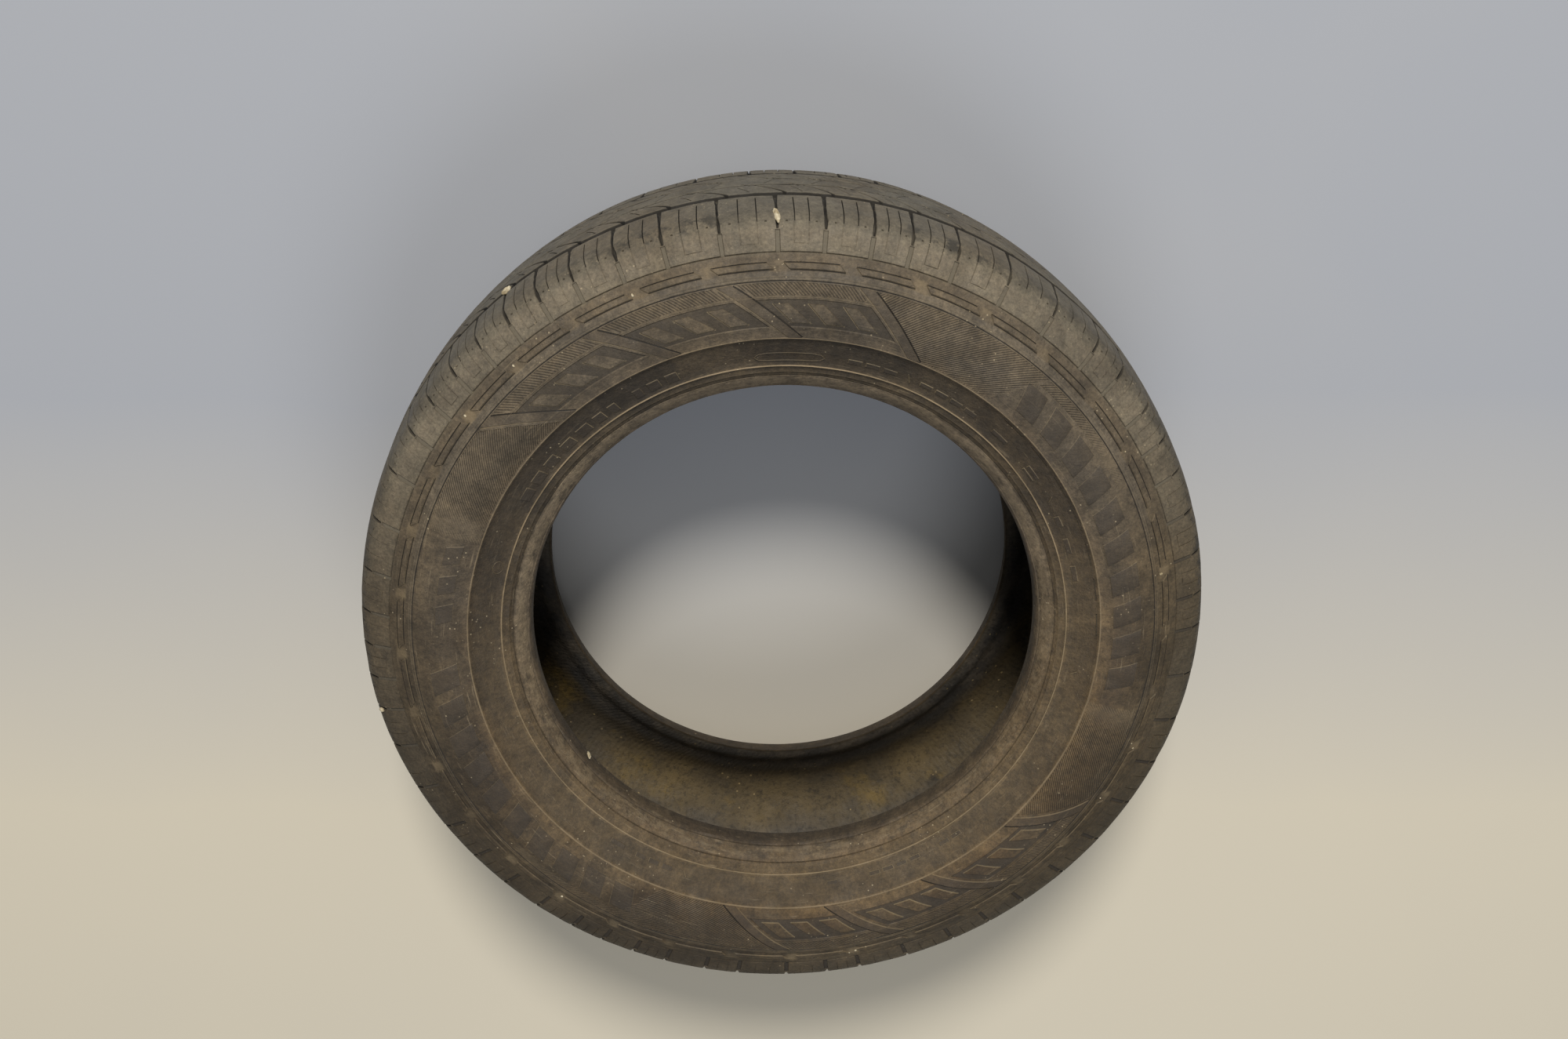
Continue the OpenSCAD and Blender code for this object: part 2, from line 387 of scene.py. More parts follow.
# Tread. A pitch is drawn from the angle of its slot, in degrees and mm across, and the
# lower half has the same pattern turned half a turn about the spoke.
tread = {
    "order": "MMSMLLLSMSSMMMSLLLLLLLMMLLSMLSMSSSMMMMLLMSSSMLLMSSSSSSMMLL",
    "lengths": {"S": 0.82, "M": 1.0, "L": 1.2},
    "firstSlot": -1.75,
    "halfShift": 3.1,
    "grooveAt": 43, "grooveHalf": 5, "grooveDepth": 4,
    "thinAt": 12.5, "thinHalf": 1.5, "thinDepth": 2.5,
    "slotHalf": (2.3, 1.35, 1.2, 1.7, 1.3), "slotDepth": 3.5,
    "channelHalf": 1.9, "channelDepth": 1.1,
    "sipeShares": (0.355, 0.66),      # places in the pitch, as a share of it
    "sipeHalf": 0.45, "sipeDepth": 2.2,
    "outlineHalf": 0.42, "outlineDepth": 0.36,
    "pinShares": (0.2, 0.81), "pinSize": (0.14, 0.8), "pinDepth": 0.9,
    "ribDepth": 3.0, "ribStart": 9.6, "ribReach": 24.6,
    "innerHalf": 1.2, "innerDepth": 2.4,
    "ribSipeHalf": 0.5, "ribSipeDepth": 1.8, "middleSipeDepth": 1.6,
    "seed": 11,
}


def pitchAngles():
    lengths = [tread["lengths"][size] for size in tread["order"]]
    total = sum(lengths)
    angle = tread["firstSlot"]
    for length in lengths:
        yield angle, 360 * length / total
        angle += 360 * length / total


def shoulderCuts(cut, pin, pitch, chance):
    slotHalf = np.array(tread["slotHalf"]) * chance.uniform(0.85, 1.1)
    drift = chance.uniform(-0.08, 0.08)
    slot = [(0, 42), (drift, 66), (drift, 86), (0.05, 95), (0.05, 103)]
    cut(slot, slotHalf, tread["slotDepth"], wornEdge, 0.5)
    cut([(0.05, 103.2), (0.05, 120.2)], tread["channelHalf"], tread["channelDepth"], edge(0.5), 0.2)
    left, right = (share * pitch for share in tread["sipeShares"])
    for place in (left, right):
        lean = chance.uniform(-0.06, 0.06)
        depth = tread["sipeDepth"] * chance.uniform(0.7, 1.1)
        cut([(place, 52), (place + lean, 96.5)], tread["sipeHalf"], depth)
    outline = [(left, 97.2), (left, 113.6), (right, 113.6), (right, 97.2)]
    depth = tread["outlineDepth"] * chance.uniform(0.7, 2.0)
    cut(outline, tread["outlineHalf"], depth, edge(0.2), 0.15)
    for share in tread["pinShares"]:
        pin(share * pitch, 96.4)


def ribCuts(cut, pitch, turn):
    start, reach = tread["ribStart"], tread["ribReach"]
    bend = [((start - reach * u ** 1.5) / 6.0, 43.5 - 29.5 * u) for u in (0, 0.2, 0.4, 0.6, 0.8, 1)]
    cut(bend, np.linspace(1.9, 1.25, len(bend)), tread["ribDepth"], wornEdge, 0.35)
    cut([(-4.2, 7.2), (-3.55, 11), (-2.95, 16.5)], tread["innerHalf"], tread["innerDepth"], wornEdge, 0.3)
    half = pitch / 2
    sipe = [(half + 0.5, 36), (half - 0.1, 28), (half - 1.0, 19)]
    cut(sipe, tread["ribSipeHalf"], tread["ribSipeDepth"])
    if turn > 0:
        middle = [(half - 4.4, 8.5), (half - 3.6, 0), (half - 2.8, -8.5)]
        cut(middle, tread["ribSipeHalf"], tread["middleSipeDepth"])


def treadPitch(angle, pitch, turn, chance):
    def at(degrees, across):
        return angle + turn * degrees, turn * across

    def cut(way, half, depth, wall=edge(0.22), ragged=0.0):
        strip("cut", [at(*p) for p in way], half, depth, wall, ragged)

    def pin(middle, across):
        dx, dy = tread["pinSize"]
        corners = [(-dx, -dy), (dx, -dy), (dx, dy), (-dx, dy)]
        panel("cut", [at(middle + x, across + y) for x, y in corners], tread["pinDepth"], edge(0.3))

    shoulderCuts(cut, pin, pitch, chance)
    ribCuts(cut, pitch, turn)


def treadMarks():
    chance = random.Random(tread["seed"])
    for angle, pitch in pitchAngles():
        treadPitch(angle, pitch, 1, chance)
        treadPitch(angle - tread["halfShift"], pitch, -1, chance)
    for side in (-1, 1):
        ring("cut", side * tread["grooveAt"], tread["grooveHalf"], tread["grooveDepth"], wornEdge, 0.35)
        ring("cut", side * tread["thinAt"], tread["thinHalf"], tread["thinDepth"], edge(0.6), 0.25)


# Sidewall, the same on both sides. Angles in degrees, the rest in mm.
wall = {
    "shoulderLine": 119.8,
    "dashes": 36, "dashAcross": (127.6, 132.5), "firstGap": 8.3, "gap": 2.1, "gapLean": 0.45,
    "dashHeight": 0.95, "moat": 0.45,
    "ridge": 137.6, "step": 140.6,
    "hatchDepth": 0.5, "hatchSpacing": 0.533,
    "bandSlant": 0.193, "fieldSlant": -0.234,
    "groups": ((308.75, 20.6), (120.5, 19.6)),     # first separator and their spacing
    "separatorLean": 11.2 / 45.5,                  # degrees for each mm across
    "panelAcross": (153.7, 175.3), "panelDepth": 0.8,
    "barAcross": (157, 172), "barWidth": (2.5, 3.1), "barLean": 3.05,
    "bars": 3, "barPitch": 5.35, "firstBar": 7.25,
    "bandAcross": (186.2, 211.6), "bandDepth": 0.5, "bandLine": 185.0,
    "letterRow": (199.6, 208.6), "letterLean": 0.02, "letterHeight": 0.55,
    # plain blocks where such a tyre has its names: first angle, spacing, width, across and count
    "blocks": ((39, 6, 4.3, (152.5, 175.5), 10), (207, 6, 4.3, (152.5, 175.5), 10),
               (274, 5.4, 3.4, (159.5, 173.5), 3)),
    "blockLean": 0.07, "blockHeight": 0.45,
    # rings near the bead: kind, across, half width, height or depth, width of the edge, raggedness
    "beadRings": (("line", 212.9, 0.65, 0.85, 0.5, 0.2), ("line", 219.2, 0.5, 0.3, 0.5, 0.2),
                  ("cut", 237.5, 0.6, 0.75, 0.5, 0.5), ("cut", 223.0, 0.6, 0.8, 0.5, 0.3)),
}
molded = edge(0.6)


def slanted(angle, width, across, lean, top):
    # corners of a four-sided shape that leans as it goes inward from the "top" row
    a, b = across
    first, last = angle + (a - top) * lean, angle + (b - top) * lean
    return [(first, a), (first + width, a), (last + width, b), (last, b)]


def panelGroup(start, spacing, put, line):
    lean, origin = wall["separatorLean"], 140
    for k in range(4):
        spoke = start + k * spacing
        put("separator", slanted(spoke - 1.25, 2.5, (141.6, 184.6), lean, origin), 0.5)
        # on each separator a raised line on one side is painted pale as painted highlight, and a groove on
        # the other is painted dark as painted shade
        for shift, kind in ((-1.25, "rimLine"), (1.3, "moat")):
            line([(spoke + shift + (v - origin) * lean, v) for v in (142, 156, 170, 184)], 0.6, 0.45, kind)
    (outer, inner), (top, low) = wall["barAcross"], wall["barWidth"]
    for k in range(3):
        spoke = start + k * spacing
        corners = slanted(spoke + 1.35, spacing - 3.2, wall["panelAcross"], lean, origin)
        put("pocket", corners, wall["panelDepth"])
        for bar in range(wall["bars"]):
            head = spoke + wall["firstBar"] + bar * wall["barPitch"]
            foot = head + wall["barLean"]
            put("fill", [(head, outer), (head + top, outer), (foot + low, inner), (foot, inner)], 1.0)
            # a raised line along one long side and the inner end of each bar, painted pale as painted
            # highlight
            line([(head, outer), (foot, inner), (foot + low, inner)], 0.6, 0.6, "rimLine")


def groupHatch(start, spacing, side):
    lean, slant = wall["separatorLean"], wall["fieldSlant"]

    def field(corners, slant, fade=None):
        mirrored = [(a, side * v) for a, v in corners]
        hatch(mirrored, side * slant, wall["hatchDepth"], wall["hatchSpacing"], fade)

    for k in range(3):
        field(slanted(start + k * spacing + 1.6, spacing - 3.2, (141.8, 151.2), lean, 140), wall["bandSlant"])
    before = [(start - 19, 141.8), (start - 1.4, 141.8), (start + 8.8, 183.8), (start - 19, 183.8)]
    field(before, slant, (start - 13, start - 19))
    end = start + 3 * spacing
    field([(end + 1.7, 141.8), (end + 31, 141.8), (end + 25, 183.8), (end + 11.8, 183.8)], slant)
    after = [(end + 31.4, 141.8), (end + 52, 141.8), (end + 52, 149.4), (end + 30.2, 149.4)]
    field(after, slant, (end + 38, end + 52))


# Plain bars and ticks where such a tyre carries its writing
marking = {
    # first and last angle of each big bar
    "bars": ((300.3, 303.2), (304.4, 307.3), (308.5, 311.4), (313.2, 316.1), (317.3, 320.2),
             (321.4, 323.6), (324.8, 326.6), (330.2, 332.0), (333.2, 335.6), (336.8, 339.2)),
    # rows of small bars: first and last angle, and the reach across
    "rows": ((10.5, 20.5, 201, 205.4), (24.5, 37.5, 201, 205.4), (41, 45.5, 201, 205), (51, 55, 200, 203.4),
             (51, 55, 205, 207.4), (63, 66, 201, 206), (68, 72, 201, 206), (74, 78, 201, 206),
             (203, 212, 200, 205), (214, 218, 200, 205), (140, 146, 201, 205), (150, 162, 201, 205),
             (168, 171, 201, 205)),
    "rowPitch": 3.1,
    "ticks": ((22, 8), (59, 5), (200, 6), (227.5, 5), (97, 6)),     # angle, and reach across from 199
    "box": ((353.5, 204), (354.3, 201.2), (356, 200.2), (364, 200.2), (365.7, 201.2), (366.5, 204),
            (365.7, 206.8), (364, 207.8), (356, 207.8), (354.3, 206.8), (353.5, 204)),
    "oval": ((285.5, 204.5), (1.3, 4.4)),      # its middle and half size
}


def markingBand(put, line):
    row, lean = wall["letterRow"], wall["letterLean"]
    for first, last in marking["bars"]:
        put("raise", slanted(first, last - first, row, lean, row[0]), wall["letterHeight"])
    for first, last, top, foot in marking["rows"]:
        pieces = max(1, round((last - first) / marking["rowPitch"]))
        width = (last - first) / pieces
        for k in range(pieces):
            put("raise", slanted(first + k * width + 0.2, width - 0.6, (top, foot), lean, top), 0.5)
    for angle, reach in marking["ticks"]:
        line([(angle, 199), (angle + 1.0, 199 + reach)], 0.5, 0.5)
    line(marking["box"], 0.35, 0.45)
    (angle, across), (wide, high) = marking["oval"]
    turns = np.linspace(0, 2 * math.pi, 13)
    line([(angle + wide * math.sin(t), across + high * math.cos(t)) for t in turns], 0.35, 0.45)


def dashRing(put, line):
    spacing = 360 / wall["dashes"]
    outer, inner = wall["dashAcross"]
    lean, length = wall["gapLean"], spacing - wall["gap"]
    for k in range(wall["dashes"]):
        start = wall["firstGap"] + wall["gap"] / 2 + k * spacing
        corners = [(start - lean, outer), (start + length - lean, outer),
                   (start + length + lean, inner), (start + lean, inner)]
        put("raise", corners, wall["dashHeight"])
        # a narrow groove along each long edge of the dash, painted near black as painted shade
        for shift, v in ((-lean, outer - 0.35), (lean, inner + 0.35)):
            line([(start + shift + 0.1, v), (start + length + shift - 0.1, v)], 0.42, wall["moat"], "moat")


def plainBlocks(put):
    for first, spacing, width, across, count in wall["blocks"]:
        for k in range(count):
            corners = slanted(first + spacing * k, width, across, wall["blockLean"], across[0])
            put("raise", corners, wall["blockHeight"])


def wallMarks(side):
    def put(kind, corners, amount):
        panel(kind, [(a, side * v) for a, v in corners], amount, molded)

    def line(way, half, amount, kind="line"):
        strip(kind, [(a, side * v) for a, v in way], half, amount, edge(0.25))

    ring("cut", side * wall["shoulderLine"], 0.6, 1.1, edge(0.6))
    dashRing(put, line)
    ring("line", side * wall["ridge"], 0.8, 0.3, edge(0.8))
    ring("line", side * (wall["step"] - 1.2), 1.0, 0.3, edge(1.0))
    ring("moat", side * wall["step"], 0.45, 0.45, edge(0.35))
    for start, gap in wall["groups"]:
        panelGroup(start, gap, put, line)
        groupHatch(start, gap, side)
        line([(start + 2.5 + k, 152.3) for k in np.linspace(0, 3 * gap + 0.3, 40)], 0.45, 0.3)
    plainBlocks(put)
    outer, inner = wall["bandAcross"]
    ring("pocket", side * (outer + inner) / 2, (inner - outer) / 2, wall["bandDepth"], edge(0.9))
    ring("line", side * wall["bandLine"], 0.9, 0.5, edge(0.9))
    for k in range(7):
        line([(41 + 7.2 * k, 188.6), (45.6 + 7.2 * k, 188.6)], 0.6, 1.0, "cut")
    for kind, across, half, amount, width, ragged in wall["beadRings"]:
        ring(kind, side * across, half, amount, edge(width), ragged)
    markingBand(put, line)


treadMarks()
for side in (1, -1):
    wallMarks(side)
print("marks drawn:", len(marks))


def flatDrawing():
    per, seam = drawing["perDegree"], drawing["seam"]
    width = 360 * per
    columns = np.linspace(0, width, drawing["columns"] + 1)
    points, edges = [], []
    cells = np.zeros((int(width) + 4, int(2 * faceEnd) + 4), bool)

    def addLine(line, closed):
        first = len(points)
        points.extend(line.tolist())
        edges.extend((first + i, first + i + 1) for i in range(len(line) - 1))
        if closed:
            edges.append((first + len(line) - 1, first))
            line = np.vstack([line, line[:1]])
        dense = subdivided(line, 0.7)
        i = np.floor(dense[:, 0]).astype(int) + 2
        j = np.floor(dense[:, 1] + faceEnd).astype(int) + 2
        fine = (i >= 0) & (i < cells.shape[0]) & (j >= 0) & (j < cells.shape[1])
        cells[i[fine], j[fine]] = True

    rowCount = 2 * int(math.ceil(faceEnd / drawing["row"]))
    rows = np.linspace(-faceEnd, faceEnd, rowCount + 1)
    for across in (rows[0], rows[-1]):
        addLine(np.stack([columns, np.full_like(columns, across)], 1), False)
    for x in (0, width):
        addLine(np.stack([np.full_like(rows, x), rows], 1), False)
    for mark in marks:
        if "rings" in mark:
            for across in mark["rings"]:
                addLine(np.stack([columns, np.full_like(columns, across)], 1), False)
            continue
        for turn in (-360, 0, 360):
            if mark["from"] + turn > seam + 360 or mark["to"] + turn < seam:
                continue
            for loop, closed in mark["loops"]:
                addLine((loop + (turn - seam, 0)) * (per, 1), closed)

    near = cells.copy()
    for dx, dy in ((1, 0), (-1, 0), (0, 1), (0, -1)):
        near |= np.roll(cells, (dx, dy), (0, 1))
    plain = np.stack(np.meshgrid(columns[1:-1], rows[1:-1], indexing="ij"), 2).reshape(-1, 2)
    i = np.floor(plain[:, 0]).astype(int) + 2
    j = np.floor(plain[:, 1] + faceEnd).astype(int) + 2
    plain = plain[~near[i, j]]
    points.extend(plain.tolist())
    middle = width / 2
    result = delaunay_2d_cdt([Vector((x - middle, y)) for x, y in points], edges, [], 0, 1e-5)
    flat = np.array([(p.x + middle, p.y) for p in result[0]])
    faces = np.array([f for f in result[2] if len(f) == 3])
    centre = flat[faces].mean(1)
    inside = (centre[:, 0] > 0) & (centre[:, 0] < width) & (np.abs(centre[:, 1]) < faceEnd)
    return flat, faces[inside], width


def joinSeam(flat, faces, width):
    low = np.flatnonzero(np.abs(flat[:, 0]) < 2e-3)
    high = np.flatnonzero(np.abs(flat[:, 0] - width) < 2e-3)
    used = np.zeros(len(flat), bool)
    used[faces] = True
    low, high = low[used[low]], high[used[high]]
    low, high = low[np.argsort(flat[low, 1])], high[np.argsort(flat[high, 1])]
    print("seam points:", len(low), len(high))
    same = np.arange(len(flat))
    same[high] = low
    faces = same[faces]
    keep, faces = np.unique(faces, return_inverse=True)
    return flat[keep], faces.reshape(-1, 3)


def smoothNoise(angle, across, scale, seed):
    # soft noise over the face, about -1 to 1; "scale" is the size of its lumps in mm
    r = radiusAt(across) / scale
    t = np.radians(angle)
    spots = np.stack([r * np.sin(t) + seed, r * np.cos(t), across / scale], 1)
    return np.array([noise.noise(Vector(s)) for s in spots])


kinds = ("raise", "separator", "line", "rimLine", "pocket", "fill", "cut", "hatch", "moat", "edge")


def faceHeight(angle, across):
    # how much of each kind of mark every point has; "edge" is the share of a raised mark's height
    order = np.argsort(angle)
    sortedAngle = angle[order]
    total = {kind: np.zeros(len(angle)) for kind in kinds}
    wobble = smoothNoise(angle, across, 3.5, 3.0)
    for mark in marks:
        insets, shares = zip(*mark["wall"])
        if "rings" in mark:
            inset = mark["half"] - np.abs(across - mark["across"])
            part = np.interp(inset + wobble * mark["ragged"] * (inset > -1e-3), insets, shares)
            group = total[mark["kind"]]
            np.maximum(group, part * mark["amount"], out=group)
            continue
        for turn in (-360, 0, 360):
            first = np.searchsorted(sortedAngle, mark["from"] + turn - 0.2)
            last = np.searchsorted(sortedAngle, mark["to"] + turn + 0.2)
            if last <= first:
                continue
            rows = order[first:last]
            local = np.stack([angle[rows] - turn, across[rows]], 1) - mark["origin"]
            inset = mark["inset"](local * (mark["perDegree"], 1))
            inset = inset + wobble[rows] * mark["ragged"] * (inset > -1e-3)
            part = np.interp(inset, insets, shares)
            group = total[mark["kind"]]
            group[rows] = np.maximum(group[rows], part * mark["amount"])
            if mark["kind"] == "raise":
                total["edge"][rows] = np.maximum(total["edge"][rows], part)
    return total


def roomAt(across):
    # how far the face may swell before it would leave the tyre's size
    a = np.abs(across)
    r = np.interp(a, fine, fineR)
    z = np.interp(a, fine, fineZ)
    return np.minimum(tyreBox[1].x / mm - casing["margin"] - r, halfWidth - casing["margin"] - z)


def bendFace():
    flat, faces, width = flatDrawing()
    print("flat drawing:", len(flat), "points", len(faces), "faces")
    flat, faces = joinSeam(flat, faces, width)
    angle = flat[:, 0] / drawing["perDegree"] + drawing["seam"]
    across = flat[:, 1]
    total = faceHeight(angle, across)
    height = np.maximum(np.maximum(total["raise"], total["separator"]), total["line"])
    height -= total["pocket"] * (1 - total["fill"])
    total["moat"] *= (1 - total["edge"]) * (total["separator"] < 0.25)
    height -= total["cut"] + total["hatch"] + total["moat"]
    calm, grown = casing["calmToe"]
    away = np.clip((faceEnd - calm - np.abs(across)) / grown, 0, 1)
    sag = sum(size * smoothNoise(angle, across, length, seed) for size, length, seed in casing["sag"])
    height = np.minimum(height + sag * away - casing["faceSink"], roomAt(across))
    places = placed(angle, across, height)
    return flat, angle, across, total, places, faces


def linerGrid(angles):
    # from the toe underneath, over the crown, to the toe on top
    lower = [(p.x, -p.y) for p in linerHalf()]
    upper = [(p.x, p.y) for p in reversed(linerHalf())]
    section = np.array(lower + upper[1:])
    t = np.radians(angles)
    sweep = np.arange(1, len(section) - 1)
    r = np.repeat(section[sweep, 0], len(t))
    z = np.repeat(section[sweep, 1], len(t))
    around = np.tile(t, len(sweep))
    size, waves, length = casing["linerSwell"]
    spots = np.stack([waves * np.sin(around), waves * np.cos(around), z / length], 1)
    r = r - size * np.array([noise.noise(Vector(s)) for s in spots])
    return np.stack([r * np.sin(around), r * np.cos(around), z], 1) * mm, len(sweep)


def buildTyre():
    flat, angle, across, total, places, faces = bendFace()
    edgeHeight = faceEnd - 1e-3
    bottom = np.flatnonzero(across < -edgeHeight)
    top = np.flatnonzero(across > edgeHeight)
    bottom, top = bottom[np.argsort(flat[bottom, 0])], top[np.argsort(flat[top, 0])]
    count = len(bottom)
    print("toe points:", count, len(top))
    liner, steps = linerGrid(angle[bottom])
    first = len(places)
    loops = [bottom] + [first + i * count + np.arange(count) for i in range(steps)] + [top]
    quads = []
    for a, b in zip(loops[:-1], loops[1:]):
        quads.extend(zip(a.tolist(), np.roll(a, -1).tolist(), np.roll(b, -1).tolist(), b.tolist()))
    allPlaces = np.vstack([places, liner])
    mesh = bpy.data.meshes.new("wornTyre")
    mesh.from_pydata(allPlaces.tolist(), [], faces[:, ::-1].tolist() + quads)
    mesh.validate()
    mesh.shade_smooth()
    mesh.set_sharp_from_angle(angle=math.radians(casing["sharpFrom"]))
    spare = len(liner)

    def store(name, kind, values):
        layer = mesh.attributes.new(name, kind, "POINT")
        field = "vector" if kind == "FLOAT_VECTOR" else "value"
        layer.data.foreach_set(field, np.asarray(values, np.float32).ravel())

    linerAngle = np.tile(angle[bottom], steps)
    allAngle = np.radians(np.append(angle, linerAngle))
    allAcross = np.append(across, np.zeros(spare))
    radius = casing["wrapRadius"]
    wrap = [radius * np.sin(allAngle), radius * np.cos(allAngle), allAcross * mm]
    store("wrap", "FLOAT_VECTOR", np.stack(wrap, 1))
    onFace = {
        "cut": total["cut"],
        "proud": total["edge"],
        "line": np.maximum(total["line"], total["rimLine"]),
        "separator": total["separator"],
        "hatch": total["hatch"] / wall["hatchDepth"],
        "moat": total["moat"],
        "sunk": total["pocket"] * (1 - total["fill"]),
    }
    for name, values in onFace.items():
        store(name, "FLOAT", np.append(values, np.zeros(spare)))
    store("inside", "FLOAT", np.append(np.zeros(len(across)), np.ones(spare)))
    piece = bpy.data.objects.new("worn_tyre", mesh)
    bpy.context.scene.collection.objects.link(piece)
    print("tyre built:", len(mesh.vertices), "points", len(mesh.polygons), "faces")
    return piece


tyre = buildTyre()


def rgb(r, g, b):
    # a paint colour from 0 to 255, as the linear value that the shaders use
    def linear(c):
        c /= 255
        return c / 12.92 if c <= 0.04045 else ((c + 0.055) / 1.055) ** 2.4
    return (linear(r), linear(g), linear(b), 1)


class Nodes:
    # short hand for wiring one material
    def __init__(self, name):
        self.material = bpy.data.materials.new(name)
        self.material.use_nodes = True
        self.tree = self.material.node_tree
        self.shader = self.tree.nodes["Principled BSDF"]

    def add(self, kind, settings=None, **inputs):
        made = self.tree.nodes.new(kind)
        for key, value in (settings or {}).items():
            setattr(made, key, value)
        for key, value in inputs.items():
            self.feed(made.inputs[key.replace("_", " ")], value)
        return made

    def feed(self, socket, value):
        if isinstance(value, bpy.types.NodeSocket):
            self.tree.links.new(value, socket)
        else:
            socket.default_value = value

    def math(self, operation, a, b=0.0, clamp=False):
        made = self.add("ShaderNodeMath", {"operation": operation, "use_clamp": clamp})
        self.feed(made.inputs[0], a)
        self.feed(made.inputs[1], b)
        return made.outputs[0]

    def times(self, *values):
        total = values[0]
        for value in values[1:]:
            total = self.math("MULTIPLY", total, value)
        return total

    def stored(self, name, output="Fac"):
        return self.add("ShaderNodeAttribute", {"attribute_name": name}).outputs[output]

    def spots(self, vector, scale):
        return self.add("ShaderNodeTexVoronoi", Vector=vector, Scale=scale).outputs["Distance"]

    def noise(self, vector, scale, detail=3.0, rough=0.55, squash=None):
        if squash:
            vector = self.add("ShaderNodeMapping", Vector=vector, Scale=squash).outputs[0]
        made = self.add("ShaderNodeTexNoise", Vector=vector, Scale=scale, Detail=detail, Roughness=rough)
        return made.outputs["Fac"]

    def spread(self, value, low, high, first=0.0, last=1.0):
        made = self.add("ShaderNodeMapRange", {"clamp": True})
        for i, v in enumerate((value, low, high, first, last)):
            self.feed(made.inputs[i], v)
        return made.outputs[0]

    def within(self, value, start, full, end, gone):
        # 1 from "full" to "end", fading to 0 at "start" and "gone"
        return self.times(self.spread(value, start, full), self.spread(value, gone, end))

    def blotch(self, vector, grain, *reach):
        # noise of this scale, detail, roughness and squash, spread over the reach
        return self.spread(self.noise(vector, *grain), *reach)

    def wander(self, vector, scale, detail, size):
        return self.times(self.math("SUBTRACT", self.noise(vector, scale, detail), 0.5), size)

    def mix(self, factor, a, b, blend="MIX"):
        made = self.add("ShaderNodeMix", {"data_type": "RGBA", "blend_type": blend})
        self.feed(made.inputs[0], factor)
        self.feed(made.inputs[6], a)
        self.feed(made.inputs[7], b)
        return made.outputs[2]

    def ramp(self, value, stops):
        made = self.add("ShaderNodeValToRGB", Fac=value)
        band = made.color_ramp.elements
        while len(band) < len(stops):
            band.new(1.0)
        for element, (place, colour) in zip(band, stops):
            element.position = place
            element.color = colour
        return made.outputs[0]

    def layUp(self, colour, coats, **shares):
        # one coat after the other over the colour
        for name, share in shares.items():
            tone, most = coats[name]
            share = share if most == 1 else self.times(share, most)
            colour = self.mix(share, colour, rgb(*tone))
        return colour

    def mottle(self, colour, share, vector, kind):
        grain, (low, dark), (high, pale) = kind
        stops = [(low, (dark, dark, dark, 1)), (high, (*pale, 1))]
        return self.mix(share, colour, self.ramp(self.noise(vector, *grain), stops), "OVERLAY")

    def bump(self, height, strength, distance, below=None):
        made = self.add("ShaderNodeBump", Height=height, Strength=strength, Distance=distance)
        if below is not None:
            self.feed(made.inputs["Normal"], below)
        return made.outputs[0]


# Colours of the rubber from the middle of the tread (0) over the shoulder and the sidewall
# to the bead toe, by mm across: on the side towards +Y, where the key lamp falls, with the shoulder
# and bead painted lighter as painted light; and on the far side, browner with mud and with the
# shoulder painted darker as painted shade
rubberZones = [
    (0, (88, 84, 75), (72, 65, 52)), (88, (91, 85, 74), (66, 58, 44)), (98, (102, 95, 82), (60, 51, 35)),
    (106, (107, 98, 84), (60, 51, 35)), (118, (103, 95, 81), (60, 50, 34)), (122, (86, 76, 62), (60, 50, 33)),
    (133, (86, 76, 62), (62, 51, 34)), (134, (88, 80, 69), (58, 48, 32)), (140, (89, 81, 70), (57, 47, 31)),
    (142, (90, 80, 66), (62, 51, 34)), (172, (79, 71, 60), (67, 53, 35)), (184, (85, 75, 62), (91, 74, 50)),
    (186.5, (50, 43, 34), (83, 69, 49)), (211, (51, 44, 35), (87, 73, 52)),
    (213.5, (50, 43, 33), (84, 70, 49)), (222.5, (52, 45, 35), (83, 69, 49)),
    (225, (118, 106, 90), (89, 74, 54)), (235, (114, 102, 86), (83, 70, 52)),
    (240, (92, 81, 68), (62, 52, 40)), (253.8, (74, 66, 55), (52, 45, 37)),
]
# What lies over the rubber's own colour, painted shade and painted highlight among the dirt, from the lowest
# coat up: its colour, and its share where thickest
rubberCoats = {
    "soil": ((44, 36, 26), 1), "dust": ((104, 90, 69), 0.4), "bare": ((47, 42, 35), 0.42),
    "scrape": ((136, 121, 96), 0.4), "torn": ((46, 43, 37), 1), "chafed": ((130, 115, 91), 1),
    "smeared": ((48, 42, 34), 0.5), "hatchFloor": ((40, 34, 27), 0.72), "hatchCrest": ((120, 106, 84), 0.3),
    "separator": ((58, 50, 41), 0.4), "moat": ((28, 24, 19), 0.92), "cut": ((42, 38, 32), 0.78),
    "cutEdge": ((140, 133, 116), 0.1), "ribCut": ((28, 25, 21), 0.78), "slot": ((33, 30, 25), 0.5),
    "slotDust": ((88, 81, 68), 0.62), "pocket": ((47, 41, 33), 0.66), "block": ((54, 47, 39), 0.55),
    "rim": ((126, 112, 87), 1), "line": ((134, 118, 90), 1), "rings": ((152, 133, 106), 1),
    "packed": ((122, 106, 80), 1), "specks": ((164, 149, 121), 0.7),
}
linerCoats = {
    "yellow": ((122, 99, 44), 0.75), "grime": ((40, 36, 30), 1), "upper": ((38, 34, 29), 0.8),
    "streaks": ((34, 30, 24), 0.5), "dots": ((168, 146, 104), 0.75),
}
